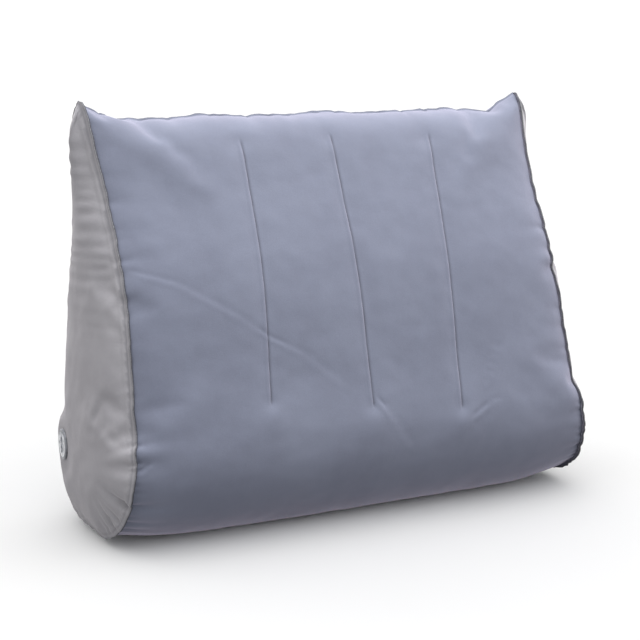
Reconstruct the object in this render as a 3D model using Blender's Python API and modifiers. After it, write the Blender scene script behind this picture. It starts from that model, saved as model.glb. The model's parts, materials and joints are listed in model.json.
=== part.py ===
"""Inflatable wedge pillow: welded sheet panels, three inner webs and a screw-in air valve.

Frame: metres, +Z up, the sloped front faces -Y, the width runs along X, and the origin is on the
floor at the middle of the pillow.
"""
import bpy
import bmesh
import math
from mathutils import Matrix, Vector

# ---- driving dimensions (metres, radians) ----
WIDTH = 0.550                 # between the two side seams, at the floor
TOP_WIDTH = 0.526             # and at the top corners
HEIGHT = 0.416                # floor to the top seam at mid width
DEPTH = 0.213                 # front to back, at the round lower part
TOP_SETBACK = 0.042           # the top seam stands this far behind the middle of the depth
TOP_RADIUS = 0.038            # fold under the top seam at mid width
END_TOP_RADIUS = 0.010        # and at its two ends
FRONT_RADIUS = 0.084          # round lower edge of the front
REAR_RADIUS = 0.080           # round lower edge of the back
FRONT_BULGE = 0.012           # how far the air pushes the sloped front out
REAR_BULGE = 0.008            # and the back
SHEET = 0.0009                # flocked sheet
WELD_GAP = 0.0003             # between two sheets that are welded together
FIN = 0.0055                  # width of the weld fin outside a seam
SEAM_PULL = 0.012             # the side seams pull in by this between their corners
PULL_SKEW = 0.7               # below 1, they pull in most above mid height
END_LIFT = 0.0105             # the body swells this far beyond its end seams
FLAT_SHARE = 0.60             # share of the width that has no end swell
EAR_RISE = 0.014              # the top corners stand this far above the top seam's middle
EAR_SHARE = 0.28              # share of the half width taken by an ear
EAR_START = 0.70              # share of the height below which the ears have no effect
GUSSET_BULGE = 0.019          # how far an end panel swells out
SWELL_WIDTH = 0.075           # distance from its seam at which it is fully out
PATCH_BLEND = 1.6             # how fast the flat ring round the valve runs into the swell

WEB_SPACING = 0.110           # between the three inner webs
WEB_SHEET = 0.0006
WEB_TOP = 0.396               # heights between which the webs are welded
WEB_BOTTOM = 0.135
WEB_FLANGE = 0.008            # weld flange of a web, on the front and on the back

VALVE_HEIGHT = 0.086          # valve centre above the floor
VALVE_SETBACK = 0.050         # valve centre behind the middle
VALVE_TILT = math.radians(6)  # the valve looks this far towards the rear
PATCH_RADIUS = 0.024          # flat ring of the gusset round the valve
RUN_GAP = 0.0003              # clearance between valve pieces

COLLAR_BORE = 0.0105          # inside of the threaded collar
COLLAR_WALL = 0.0013
COLLAR_DEPTH = 0.0120         # below the gusset's outer face
COLLAR_TOP = 0.0026           # above it
SEAT_WIDTH = 0.0027           # ledge the gasket lies on
COUNTERBORE = COLLAR_BORE + SEAT_WIDTH
LIP_WIDTH = 0.0028            # visible ring round the insert
LIP_RADIUS = COUNTERBORE + LIP_WIDTH
LIP_ROUND = 0.0009            # broken outer corner of the lip
SKIRT_RADIUS = 0.0230         # disc welded behind the gusset
SKIRT_SHEET = 0.0012
GASKET_THICKNESS = 0.0008
FLANGE_THICKNESS = 0.0018
INSERT_DEPTH = 0.0095
INSERT_BORE = 0.0076
SPIDER_THICKNESS = 0.0012
SPIDER_ARM = 0.0014
ARM_THICKNESS = 0.0011
SPIDER_HUB = 0.0026
FLAP_RADIUS = 0.0094
FLAP_THICKNESS = 0.0008
FLAP_TRAVEL = 0.0020
STEM_RADIUS = 0.0010
STEM_HEAD = 0.0020
STEM_TIP = 0.0012
CAP_RECESS = 0.0116           # radius of the recess the cap lies in
CAP_THICKNESS = 0.0009
CAP_GRIP = 0.0011             # height of the bar that is pinched to pull the cap
GRIP_WIDTH = 0.0026
GRIP_LENGTH = 0.0174
CAP_BOSS = 0.0002             # step under the disc, inside the plug
TAB_WIDTH = 0.0060
TAB_START = 0.0087            # from the valve's axis
BARREL_SWELL = 0.0001         # the hinge's barrel stands proud of the tab by this
TAB_RISER = 0.0018
PLUG_DEPTH = 0.0047
PLUG_TAPER = 0.0010           # of the cap's plug, in radius
HINGE_INSET = 0.0010          # axis the cap flips on, inside the rim of the seat
HINGE_OFFSET = COUNTERBORE - HINGE_INSET

SHELF = COLLAR_TOP - FLANGE_THICKNESS - GASKET_THICKNESS - 2 * RUN_GAP
HOLE_RADIUS = COUNTERBORE + COLLAR_WALL + RUN_GAP

# rows of the panels' grids along each stretch of the outline, and columns across the width
TIP_ROWS = 2
SIDE_ROWS = 9
ARC_ROWS = 6
FLOOR_ROWS = 2
COLUMNS = 16
PATCH_RINGS = 2
GUSSET_RINGS = 5
WEB_ROWS = 8
TURN_STEPS = 32
MERGE = 0.00001               # points closer than this are one


def clear_scene():
    for thing in list(bpy.data.objects):
        bpy.data.objects.remove(thing, do_unlink=True)


def new_collection(name):
    collection = bpy.data.collections.new(name)
    bpy.context.scene.collection.children.link(collection)
    return collection


def material(name, color, roughness, metallic=0.0):
    made = bpy.data.materials.new(name)
    made.use_nodes = True
    shader = made.node_tree.nodes["Principled BSDF"]
    shader.inputs["Base Color"].default_value = (*color, 1.0)
    shader.inputs["Roughness"].default_value = roughness
    shader.inputs["Metallic"].default_value = metallic
    return made


# ---- outline of the pillow at mid width, in (y, z) ----

def tangent_angle(start, start_radius, end, end_radius):
    """Direction of the outward normal of the line that touches two circles on their outer side."""
    along = end - start
    return math.atan2(along.y, along.x) - math.acos((start_radius - end_radius) / along.length)


def on_circle(centre, radius, angle):
    return centre + Vector((math.cos(angle), math.sin(angle))) * radius


def arc_stretch(centre, radius, first, last):
    sweep = (last - first) % (2 * math.pi)

    def point(t):
        return on_circle(centre, radius, first + sweep * t)
    return point


def side_stretch(start, end, bulge):
    along = end - start
    out = Vector((along.y, -along.x)).normalized()

    def point(t):
        return start + along * t + out * (bulge * math.sin(math.pi * t) ** 2)
    return point


def outline_stretches():
    """Three circles and the lines that touch them: top, down the front, floor, up the back."""
    tip = Vector((TOP_SETBACK, HEIGHT - TOP_RADIUS))
    front = Vector((FRONT_RADIUS - DEPTH / 2, FRONT_RADIUS))
    rear = Vector((DEPTH / 2 - REAR_RADIUS, REAR_RADIUS))
    front_angle = tangent_angle(tip, TOP_RADIUS, front, FRONT_RADIUS)
    floor_angle = tangent_angle(front, FRONT_RADIUS, rear, REAR_RADIUS)
    rear_angle = tangent_angle(rear, REAR_RADIUS, tip, TOP_RADIUS)
    top_fold = arc_stretch(tip, TOP_RADIUS, rear_angle, front_angle)
    down_front = side_stretch(on_circle(tip, TOP_RADIUS, front_angle),
                              on_circle(front, FRONT_RADIUS, front_angle), FRONT_BULGE)
    lower_front = arc_stretch(front, FRONT_RADIUS, front_angle, floor_angle)
    floor = side_stretch(on_circle(front, FRONT_RADIUS, floor_angle),
                         on_circle(rear, REAR_RADIUS, floor_angle), 0.0)
    lower_rear = arc_stretch(rear, REAR_RADIUS, floor_angle, rear_angle)
    up_rear = side_stretch(on_circle(rear, REAR_RADIUS, rear_angle),
                           on_circle(tip, TOP_RADIUS, rear_angle), REAR_BULGE)
    return top_fold, down_front, lower_front, floor, lower_rear, up_rear


STEP = 0.001      # of a stretch, for its slope
HALVINGS = 40     # steps of the search for a height on a stretch


def row(stretch, t):
    """Point and outward normal of the outline, both as (y, z)."""
    ahead = stretch(min(t + STEP, 1.0))
    behind = stretch(max(t - STEP, 0.0))
    along = (ahead - behind).normalized()
    return stretch(t), Vector((along.y, -along.x))


def rows(stretch, start, end, count):
    """Rows from start to end of a stretch, without the last one."""
    return [row(stretch, start + (end - start) * i / count) for i in range(count)]


def panel_rows():
    """Rows of the front panel (top seam, front, floor, low back seam) and of the back panel."""
    top_fold, down_front, lower_front, floor, lower_rear, up_rear = outline_stretches()
    front = rows(top_fold, 0.5, 1.0, TIP_ROWS)
    front += rows(down_front, 0.0, 1.0, SIDE_ROWS)
    front += rows(lower_front, 0.0, 1.0, ARC_ROWS)
    front += rows(floor, 0.0, 1.0, FLOOR_ROWS)
    front += rows(lower_rear, 0.0, 0.5, ARC_ROWS // 2)
    front.append(row(lower_rear, 0.5))
    back = rows(lower_rear, 0.5, 1.0, ARC_ROWS // 2)
    back += rows(up_rear, 0.0, 1.0, SIDE_ROWS)
    back += rows(top_fold, 0.0, 0.5, TIP_ROWS)
    back.append(row(top_fold, 0.5))
    return front, back


FRONT_ROWS, BACK_ROWS = panel_rows()
SEAM_ROWS = FRONT_ROWS[:-1] + BACK_ROWS[:-1]


# ---- the inflated surface ----

def seam_reach(height):
    """Distance of a side seam from the middle plane at a height."""
    below_top = min(max(1 - height / HEIGHT, 0.0), 1.0)
    half = TOP_WIDTH / 2 + (WIDTH - TOP_WIDTH) / 2 * below_top
    return half - SEAM_PULL * math.sin(math.pi * below_top ** PULL_SKEW)


def surface(point, normal, across, offset=0.0):
    """A point of the sheet's inner face: outline row, share of the half width from -1 to 1."""
    near_top = max(0.0, (point.y / HEIGHT - EAR_START) / (1 - EAR_START)) ** 2
    top_lift = TOP_RADIUS - END_TOP_RADIUS
    lift = END_LIFT + (top_lift - END_LIFT) * near_top
    end = max(0.0, (abs(across) - FLAT_SHARE) / (1 - FLAT_SHARE)) ** 2
    place = point + normal * (offset - lift * end)
    ear = max(0.0, (abs(across) - 1 + EAR_SHARE) / EAR_SHARE) ** 2
    rise = (EAR_RISE * ear + top_lift * end) * near_top
    return Vector((across * seam_reach(point.y), place.x, place.y + SHEET + rise))


def fin_directions(side, normal):
    """Along a side fin, and across it towards the front or back panel."""
    out = Vector((side, 0.0, 0.0))
    up = Vector((0.0, normal.x, normal.y))
    return (out + up).normalized(), (up - out).normalized()


def seam_point(point, normal, side, away):
    """Point on a side seam, moved half the weld gap towards (+1) or away from (-1) the panel."""
    across = fin_directions(side, normal)[1]
    return surface(point, normal, side) + across * (away * WELD_GAP / 2)


def add_object(mesh, name, collection, made_of):
    thing = bpy.data.objects.new(name, mesh)
    mesh.materials.append(made_of)
    collection.objects.link(thing)
    return thing


def thicken(thing, thickness):
    """Give a sheet its wall on the outer side."""
    wall = thing.modifiers.new("wall", "SOLIDIFY")
    wall.thickness = thickness
    wall.offset = 1.0
    wall.use_even_offset = False
    return wall


def face_outward(bm, inside):
    """Turn an open sheet so that its faces look away from a point inside the pillow."""
    bmesh.ops.recalc_face_normals(bm, faces=bm.faces)
    votes = sum((face.calc_center_median() - inside).dot(face.normal) * face.calc_area()
                for face in bm.faces)
    if votes < 0:
        bmesh.ops.reverse_faces(bm, faces=bm.faces)


INSIDE = Vector((0.0, 0.0, 2 * FRONT_RADIUS))


def wrap_panel(name, outline_rows, collection, made_of):
    """A panel across the width with a weld fin on each of its four edges."""
    last = len(outline_rows) - 1
    bm = bmesh.new()
    grid = bmesh.ops.create_grid(bm, x_segments=COLUMNS + 2, y_segments=last + 2, size=0.5)["verts"]
    corners = []
    for vert in grid:
        column = round((vert.co.x + 0.5) * (COLUMNS + 2)) - 1
        line = round((vert.co.y + 0.5) * (last + 2)) - 1
        across = 2 * min(max(column, 0), COLUMNS) / COLUMNS - 1
        point, normal = outline_rows[min(max(line, 0), last)]
        side = -1 if column <= 0 else 1
        if 0 < column < COLUMNS:
            place = surface(point, normal, across)
        else:
            place = seam_point(point, normal, side, 1)
        on_side_fin = column in (-1, COLUMNS + 1)
        on_end_fin = line in (-1, last + 1)
        if on_side_fin:
            place = place + fin_directions(side, normal)[0] * FIN
        if line <= 0 or line >= last:
            along = Vector((0.0, -normal.y, normal.x))
            own_side = -1 if line <= 0 else 1
            place = place - along * (own_side * WELD_GAP / 2)
        if on_end_fin:
            place = place + Vector((0.0, normal.x, normal.y)) * FIN
        vert.co = place
        if on_side_fin and on_end_fin:
            corners.append(vert)
    bmesh.ops.delete(bm, geom=corners, context="VERTS")
    face_outward(bm, INSIDE)
    mesh = bpy.data.meshes.new(name)
    bm.to_mesh(mesh)
    bm.free()
    thing = add_object(mesh, name, collection, made_of)
    thicken(thing, SHEET)
    return thing


def distance_to_outline(place):
    """Distance of a (y, z) point from the side seam, seen from the end."""
    ring = [surface(point, normal, 1.0) for point, normal in SEAM_ROWS]
    ring = [Vector((p.y, p.z)) for p in ring]
    nearest = math.inf
    for start, end in zip(ring, ring[1:] + ring[:1]):
        along = end - start
        share = min(max((place - start).dot(along) / along.length_squared, 0.0), 1.0)
        nearest = min(nearest, (place - start - along * share).length)
    return nearest


def gusset_reach(y, z):
    """Distance of the swollen end panel's inner face from the middle plane."""
    depth = min(distance_to_outline(Vector((y, z))) / SWELL_WIDTH, 1.0)
    return seam_reach(z) + GUSSET_BULGE * (1 - (1 - depth) ** 2)


VALVE_REACH = gusset_reach(VALVE_SETBACK, VALVE_HEIGHT)


def gusset(name, side, hole, collection, made_of):
    """An end panel: rings from the middle (or the valve's hole) out to the seam and its fin."""
    around = len(SEAM_ROWS)
    rings = PATCH_RINGS + GUSSET_RINGS + 1
    first_radius = HOLE_RADIUS if hole else 0.0
    bm = bmesh.new()
    grid = bmesh.ops.create_grid(bm, x_segments=around, y_segments=rings - 1, size=0.5)["verts"]
    for vert in grid:
        index = round((vert.co.x + 0.5) * around) % around
        ring = round((vert.co.y + 0.5) * (rings - 1))
        point, normal = SEAM_ROWS[index]
        seam = seam_point(point, normal, side, -1)
        flat = Vector((seam.y - VALVE_SETBACK, seam.z - VALVE_HEIGHT))
        angle = math.pi / 2 + 2 * math.pi * index / around
        spoke = Vector((math.cos(angle), math.sin(angle)))
        if ring < PATCH_RINGS:
            share = ring / (PATCH_RINGS - 1)
            flat = spoke * (first_radius + (PATCH_RADIUS - first_radius) * share)
            from_patch = 0.0
        elif ring < rings - 1:
            from_patch = (ring - PATCH_RINGS + 1) / GUSSET_RINGS
            flat = spoke * PATCH_RADIUS * (1 - from_patch) + flat * from_patch
        if ring >= rings - 2:
            place = seam.copy()
            if ring == rings - 1:
                place = place + fin_directions(side, normal)[0] * FIN
        else:
            y = VALVE_SETBACK + flat.x
            z = VALVE_HEIGHT + flat.y
            bowed = gusset_reach(y, z)
            level = VALVE_REACH - math.tan(VALVE_TILT) * flat.x
            blend = min(1.0, PATCH_BLEND * from_patch)
            place = Vector((side * (level + (bowed - level) * blend), y, z))
        vert.co = place
    bmesh.ops.remove_doubles(bm, verts=bm.verts, dist=MERGE)
    face_outward(bm, INSIDE)
    mesh = bpy.data.meshes.new(name)
    bm.to_mesh(mesh)
    bm.free()
    thing = add_object(mesh, name, collection, made_of)
    thicken(thing, SHEET)
    return thing


def height_share(stretch, height):
    """Where a stretch that runs steadily up or down passes a height."""
    low, high = (0.0, 1.0) if stretch(0.0).y < stretch(1.0).y else (1.0, 0.0)
    for _ in range(HALVINGS):
        middle = (low + high) / 2
        if stretch(middle).y < height:
            low = middle
        else:
            high = middle
    return (low + high) / 2


def web(name, x, collection, made_of):
    """An inner tension sheet with a weld flange on the front panel and one on the back."""
    _, down_front, _, _, _, up_rear = outline_stretches()
    bm = bmesh.new()
    grid = bmesh.ops.create_grid(bm, x_segments=3, y_segments=WEB_ROWS, size=0.5)["verts"]
    clearance = -(WELD_GAP + WEB_SHEET)
    for vert in grid:
        column = round((vert.co.x + 0.5) * 3)
        share = vert.co.y + 0.5
        height = WEB_BOTTOM + (WEB_TOP - WEB_BOTTOM) * share
        stretch = down_front if column < 2 else up_rear
        point, normal = row(stretch, height_share(stretch, height))
        place = surface(point, normal, x / (WIDTH / 2), offset=clearance)
        sideways = WEB_FLANGE if column in (0, 3) else 0.0
        vert.co = Vector((x + sideways, place.y, place.z))
    bmesh.ops.recalc_face_normals(bm, faces=bm.faces)
    mesh = bpy.data.meshes.new(name)
    bm.to_mesh(mesh)
    bm.free()
    thing = add_object(mesh, name, collection, made_of)
    wall = thicken(thing, WEB_SHEET)
    wall.offset = 0.0
    return thing


# ---- valve: every piece is drawn about its own Z axis, outward, with 0 on the gusset's face ----

def valve_frame(collection):
    out = Vector((-math.cos(VALVE_TILT), math.sin(VALVE_TILT), 0.0))
    up = Vector((0.0, 0.0, 1.0))
    centre = Vector((-VALVE_REACH, VALVE_SETBACK, VALVE_HEIGHT)) + out * SHEET
    frame = bpy.data.objects.new("valve_axis", None)
    turn = Matrix((up.cross(out), up, out)).transposed().to_4x4()
    frame.matrix_world = Matrix.Translation(centre) @ turn
    collection.objects.link(frame)
    return frame


def turned(name, profile, collection, made_of, closed=True):
    """A turned piece: (radius, height) corners, down the outer side, about the valve's axis."""
    bm = bmesh.new()
    verts = [bm.verts.new((radius, 0.0, height)) for radius, height in profile]
    for start, end in zip(verts, verts[1:]):
        bm.edges.new((start, end))
    if closed:
        bm.edges.new((verts[-1], verts[0]))
    mesh = bpy.data.meshes.new(name)
    bm.to_mesh(mesh)
    bm.free()
    thing = add_object(mesh, name, collection, made_of)
    spin = thing.modifiers.new("turn", "SCREW")
    spin.steps = TURN_STEPS
    spin.render_steps = TURN_STEPS
    spin.use_merge_vertices = True
    spin.merge_threshold = MERGE
    return thing


def box(name, size, centre, collection, made_of, turn=0.0):
    """A block with its size in its mesh."""
    bm = bmesh.new()
    bmesh.ops.create_cube(bm, size=1.0)
    bmesh.ops.scale(bm, vec=size, verts=bm.verts)
    bmesh.ops.translate(bm, vec=centre, verts=bm.verts)
    bmesh.ops.rotate(bm, cent=(0, 0, 0), matrix=Matrix.Rotation(turn, 3, "Z"), verts=bm.verts)
    mesh = bpy.data.meshes.new(name)
    bm.to_mesh(mesh)
    bm.free()
    return add_object(mesh, name, collection, made_of)


def pin(name, radius, length, centre, collection, made_of):
    """A round pin along X with its size in its mesh."""
    bm = bmesh.new()
    bmesh.ops.create_cone(bm, cap_ends=True, segments=TURN_STEPS, radius1=radius, radius2=radius,
                          depth=length)
    bmesh.ops.rotate(bm, cent=(0, 0, 0), matrix=Matrix.Rotation(math.pi / 2, 3, "Y"),
                     verts=bm.verts)
    bmesh.ops.translate(bm, vec=centre, verts=bm.verts)
    mesh = bpy.data.meshes.new(name)
    bm.to_mesh(mesh)
    bm.free()
    return add_object(mesh, name, collection, made_of)


def join_solids(thing, tools):
    for index, tool in enumerate(tools):
        cut = thing.modifiers.new("join_%d" % index, "BOOLEAN")
        cut.operation = "UNION"
        cut.object = tool
        tool.hide_render = True
        tool.display_type = "WIRE"


def build_valve(parts, cutters):
    dark = material("dark_pvc", (0.045, 0.047, 0.055), 0.42)
    clear = material("grey_plastic", (0.42, 0.44, 0.48), 0.30)
    rubber = material("seal_rubber", (0.03, 0.03, 0.032), 0.65)
    silicone = material("silicone", (0.62, 0.63, 0.64), 0.45)
    frame = valve_frame(parts)
    inner_face = -SHEET - WELD_GAP

    base = turned("valve_base", [
        (COUNTERBORE, SHELF), (COUNTERBORE, COLLAR_TOP), (LIP_RADIUS - LIP_ROUND, COLLAR_TOP),
        (LIP_RADIUS, COLLAR_TOP - LIP_ROUND), (LIP_RADIUS, WELD_GAP),
        (COUNTERBORE + COLLAR_WALL, WELD_GAP), (COUNTERBORE + COLLAR_WALL, inner_face),
        (SKIRT_RADIUS, inner_face), (SKIRT_RADIUS, inner_face - SKIRT_SHEET),
        (COUNTERBORE + COLLAR_WALL, inner_face - SKIRT_SHEET),
        (COLLAR_BORE + COLLAR_WALL, SHELF - 2 * COLLAR_WALL - SKIRT_SHEET),
        (COLLAR_BORE + COLLAR_WALL, -COLLAR_DEPTH), (COLLAR_BORE, -COLLAR_DEPTH),
        (COLLAR_BORE, SHELF)], parts, dark)

    neck = COLLAR_BORE - RUN_GAP
    gasket_low = SHELF + RUN_GAP
    gasket = turned("insert_gasket", [
        (neck + RUN_GAP, gasket_low + GASKET_THICKNESS),
        (COUNTERBORE - 2 * RUN_GAP, gasket_low + GASKET_THICKNESS),
        (COUNTERBORE - 2 * RUN_GAP, gasket_low), (neck + RUN_GAP, gasket_low)], parts, rubber)

    flange_low = gasket_low + GASKET_THICKNESS + RUN_GAP
    flange_radius = COUNTERBORE - RUN_GAP
    recess_floor = COLLAR_TOP - CAP_THICKNESS - RUN_GAP
    insert = turned("valve_insert", [
        (INSERT_BORE, recess_floor), (CAP_RECESS, recess_floor), (CAP_RECESS, COLLAR_TOP),
        (flange_radius, COLLAR_TOP), (flange_radius, flange_low), (neck, flange_low),
        (neck, -INSERT_DEPTH), (INSERT_BORE, -INSERT_DEPTH)], parts, clear)
    hub_top = -INSERT_DEPTH + SPIDER_THICKNESS
    hub = turned("spider_hub", [
        (STEM_RADIUS + RUN_GAP, hub_top), (SPIDER_HUB, hub_top), (SPIDER_HUB, -INSERT_DEPTH),
        (STEM_RADIUS + RUN_GAP, -INSERT_DEPTH)], cutters, clear)
    arm_start = (STEM_RADIUS + SPIDER_HUB) / 2 + RUN_GAP / 2
    arm_end = (INSERT_BORE + neck) / 2
    arms = [box("spider_arm_%d" % i, (arm_end - arm_start, SPIDER_ARM, ARM_THICKNESS),
                ((arm_start + arm_end) / 2, 0, -INSERT_DEPTH + SPIDER_THICKNESS / 2),
                cutters, clear, turn=2 * math.pi * i / 3) for i in range(3)]
    join_solids(insert, [hub] + arms)

    flap_top = -INSERT_DEPTH - RUN_GAP
    head_low = hub_top + RUN_GAP + FLAP_TRAVEL
    flap = turned("check_flap", [
        (0.0, head_low + STEM_RADIUS), (STEM_TIP, head_low + STEM_RADIUS),
        (STEM_HEAD, head_low), (STEM_RADIUS, head_low), (STEM_RADIUS, flap_top),
        (FLAP_RADIUS, flap_top), (FLAP_RADIUS, flap_top - FLAP_THICKNESS),
        (0.0, flap_top - FLAP_THICKNESS)], parts, silicone, closed=False)

    disc_low = recess_floor + RUN_GAP
    plug_radius = INSERT_BORE - RUN_GAP
    plug_low = disc_low - PLUG_DEPTH
    cap = turned("valve_cap", [
        (0.0, COLLAR_TOP), (CAP_RECESS - RUN_GAP, COLLAR_TOP), (CAP_RECESS - RUN_GAP, disc_low),
        (plug_radius, disc_low), (plug_radius - PLUG_TAPER, plug_low),
        (plug_radius - PLUG_TAPER - COLLAR_WALL, plug_low),
        (plug_radius - PLUG_TAPER - COLLAR_WALL, disc_low - CAP_BOSS), (0.0, disc_low - CAP_BOSS)],
        parts, clear, closed=False)
    grip = box("cap_grip", (GRIP_WIDTH, GRIP_LENGTH, CAP_GRIP + CAP_THICKNESS / 2),
               (0, 0, COLLAR_TOP + CAP_GRIP / 2 - CAP_THICKNESS / 4), cutters, clear)
    hinge_height = COLLAR_TOP + RUN_GAP + CAP_THICKNESS / 2
    tab = box("cap_tab", (TAB_WIDTH, HINGE_OFFSET - TAB_START, CAP_THICKNESS),
              (0, (HINGE_OFFSET + TAB_START) / 2, hinge_height), cutters, clear)
    barrel = pin("cap_barrel", CAP_THICKNESS / 2 + BARREL_SWELL, TAB_WIDTH + 2 * BARREL_SWELL,
                 (0, HINGE_OFFSET, hinge_height + BARREL_SWELL), cutters, clear)
    riser = box("cap_riser", (TAB_WIDTH, TAB_RISER, CAP_THICKNESS + RUN_GAP),
                (0, TAB_START + TAB_RISER / 2, COLLAR_TOP + RUN_GAP / 2 + CAP_THICKNESS / 4),
                cutters, clear)
    join_solids(cap, [grip, tab, riser, barrel])

    for thing in (base, gasket, insert, flap, cap, hub, grip, tab, riser, barrel, *arms):
        thing.parent = frame


def build():
    clear_scene()
    parts = new_collection("wedge_pillow")
    cutters = new_collection("wedge_pillow_cutters")
    blue = material("blue_grey_flock", (0.215, 0.235, 0.300), 0.92)
    grey = material("warm_grey_flock", (0.270, 0.262, 0.270), 0.92)
    film = material("inner_pvc", (0.50, 0.52, 0.55), 0.40)
    wrap_panel("front_panel", FRONT_ROWS, parts, blue)
    wrap_panel("back_panel", BACK_ROWS, parts, blue)
    gusset("left_gusset", -1, True, parts, grey)
    gusset("right_gusset", 1, False, parts, grey)
    for name, place in (("left_web", -1), ("centre_web", 0), ("right_web", 1)):
        web(name, place * WEB_SPACING, parts, film)
    build_valve(parts, cutters)


build()
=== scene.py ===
# %% [markdown]
# # An inflatable wedge pillow
#
# The real object is a back rest for a tent or a camp bed: flocked PVC sheets are cut flat, welded
# along their edges and blown up through a small valve on one end. The air makes every shape on it,
# so this lesson lets Blender's cloth solver blow up the same cut sheets, and then adds the details
# that a solver is too coarse for: weld lines, creases, puckers and raw edges.
#
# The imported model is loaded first. It is the fixed frame, in metres: +Z up, the sloped front
# faces -Y, and the origin is on the floor.

# %% Load the frame
import json
import math
import time

import bmesh
import bpy
import numpy as np
from mathutils import Matrix, Vector, noise
from mathutils.geometry import delaunay_2d_cdt

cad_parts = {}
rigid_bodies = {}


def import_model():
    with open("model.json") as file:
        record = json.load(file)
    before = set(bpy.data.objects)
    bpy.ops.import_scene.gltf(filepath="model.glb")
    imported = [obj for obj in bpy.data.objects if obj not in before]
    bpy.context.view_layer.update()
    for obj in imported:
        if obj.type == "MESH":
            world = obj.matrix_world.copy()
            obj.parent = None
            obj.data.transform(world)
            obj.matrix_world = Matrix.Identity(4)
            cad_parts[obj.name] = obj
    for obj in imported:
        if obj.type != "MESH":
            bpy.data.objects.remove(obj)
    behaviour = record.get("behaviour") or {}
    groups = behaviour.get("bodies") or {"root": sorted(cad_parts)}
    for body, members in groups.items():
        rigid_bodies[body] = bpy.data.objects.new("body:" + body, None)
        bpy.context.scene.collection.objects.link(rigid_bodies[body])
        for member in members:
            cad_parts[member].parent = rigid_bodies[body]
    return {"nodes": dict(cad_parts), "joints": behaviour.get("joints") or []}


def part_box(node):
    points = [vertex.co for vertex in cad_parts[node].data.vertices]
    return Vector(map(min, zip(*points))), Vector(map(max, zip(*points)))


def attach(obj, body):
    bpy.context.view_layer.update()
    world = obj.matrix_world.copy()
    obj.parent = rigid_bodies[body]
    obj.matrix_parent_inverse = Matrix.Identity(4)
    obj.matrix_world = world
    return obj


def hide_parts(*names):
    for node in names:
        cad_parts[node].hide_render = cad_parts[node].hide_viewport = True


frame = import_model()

bpy.context.view_layer.update()

# %% [markdown]
# ## The outline of the pillow
#
# Seen from its end the pillow is a drop: three circles joined by nearly straight sides. The same
# named sizes as in the frame give that drop here, because the sheets have to meet the valve and
# the webs. The loop of points starts at the top seam, runs down the front, over the floor and up
# the back. Every later step asks it for a point by the distance along the loop.

# %% Sizes of the wedge
WIDTH, TOP_WIDTH = 0.550, 0.526
HEIGHT, DEPTH, SETBACK = 0.416, 0.213, 0.042
TOP_RADIUS, END_TOP_RADIUS = 0.038, 0.010
FRONT_RADIUS, REAR_RADIUS = 0.084, 0.080
FRONT_BULGE, REAR_BULGE = 0.012, 0.008
SHEET, WELD_GAP, FIN = 0.0009, 0.0003, 0.0055
SEAM_PULL, PULL_SKEW = 0.012, 0.7
END_LIFT, FLAT_SHARE = 0.0105, 0.60
EAR_RISE, EAR_SHARE, EAR_START = 0.014, 0.28, 0.70
GUSSET_BULGE, SWELL_WIDTH = 0.019, 0.075


# %% Loop of the outline
def tangent_angle(start, start_radius, end, end_radius):
    """Direction of the normal of the line that touches two circles on their outer side."""
    along = end - start
    return math.atan2(along.y, along.x) - math.acos((start_radius - end_radius) / along.length)


def on_circle(centre, radius, angle):
    return centre + radius * Vector((math.cos(angle), math.sin(angle)))


def arc(centre, radius, first, last, count=120):
    sweep = (last - first) % (2 * math.pi)
    return [on_circle(centre, radius, first + sweep * i / count) for i in range(count)]


def bowed(start, end, bulge, count=240):
    along = end - start
    out = Vector((along.y, -along.x)).normalized()
    return [start + along * (i / count) + out * bulge * math.sin(math.pi * i / count) ** 2
            for i in range(count)]


tip = Vector((SETBACK, HEIGHT - TOP_RADIUS))
front = Vector((FRONT_RADIUS - DEPTH / 2, FRONT_RADIUS))
rear = Vector((DEPTH / 2 - REAR_RADIUS, REAR_RADIUS))
front_angle = tangent_angle(tip, TOP_RADIUS, front, FRONT_RADIUS)
floor_angle = tangent_angle(front, FRONT_RADIUS, rear, REAR_RADIUS)
rear_angle = tangent_angle(rear, REAR_RADIUS, tip, TOP_RADIUS)
crest_angle = rear_angle + ((front_angle - rear_angle) % (2 * math.pi)) / 2
low_seam_angle = floor_angle + ((rear_angle - floor_angle) % (2 * math.pi)) / 2

down_to_low_seam = (
    arc(tip, TOP_RADIUS, crest_angle, front_angle)
    + bowed(on_circle(tip, TOP_RADIUS, front_angle),
            on_circle(front, FRONT_RADIUS, front_angle), FRONT_BULGE)
    + arc(front, FRONT_RADIUS, front_angle, floor_angle)
    + bowed(on_circle(front, FRONT_RADIUS, floor_angle),
            on_circle(rear, REAR_RADIUS, floor_angle), 0.0)
    + arc(rear, REAR_RADIUS, floor_angle, low_seam_angle))
up_the_back = (
    arc(rear, REAR_RADIUS, low_seam_angle, rear_angle)
    + bowed(on_circle(rear, REAR_RADIUS, rear_angle),
            on_circle(tip, TOP_RADIUS, rear_angle), REAR_BULGE)
    + arc(tip, TOP_RADIUS, rear_angle, crest_angle))
loop = np.array([tuple(p) for p in down_to_low_seam + up_the_back + down_to_low_seam[:1]])
travelled = np.concatenate([[0.0], np.cumsum(np.linalg.norm(np.diff(loop, axis=0), axis=1))])
GIRTH = travelled[-1]
LOW_SEAM = travelled[len(down_to_low_seam)]
print("round the wedge", round(GIRTH, 4), "m; the low back seam comes at", round(LOW_SEAM, 4))


# %% Points of the frame's sheet
def at(way):
    """(y, z) of the outline at a distance along the loop."""
    way = np.mod(way, GIRTH)
    return np.stack([np.interp(way, travelled, loop[:, 0]),
                     np.interp(way, travelled, loop[:, 1])], axis=-1)


def outward(way, step=0.002):
    """(y, z) direction that looks away from the pillow there."""
    ahead = at(np.asarray(way) + step) - at(np.asarray(way) - step)
    ahead = ahead / np.linalg.norm(ahead, axis=-1, keepdims=True)
    return np.stack([ahead[..., 1], -ahead[..., 0]], axis=-1)


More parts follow.
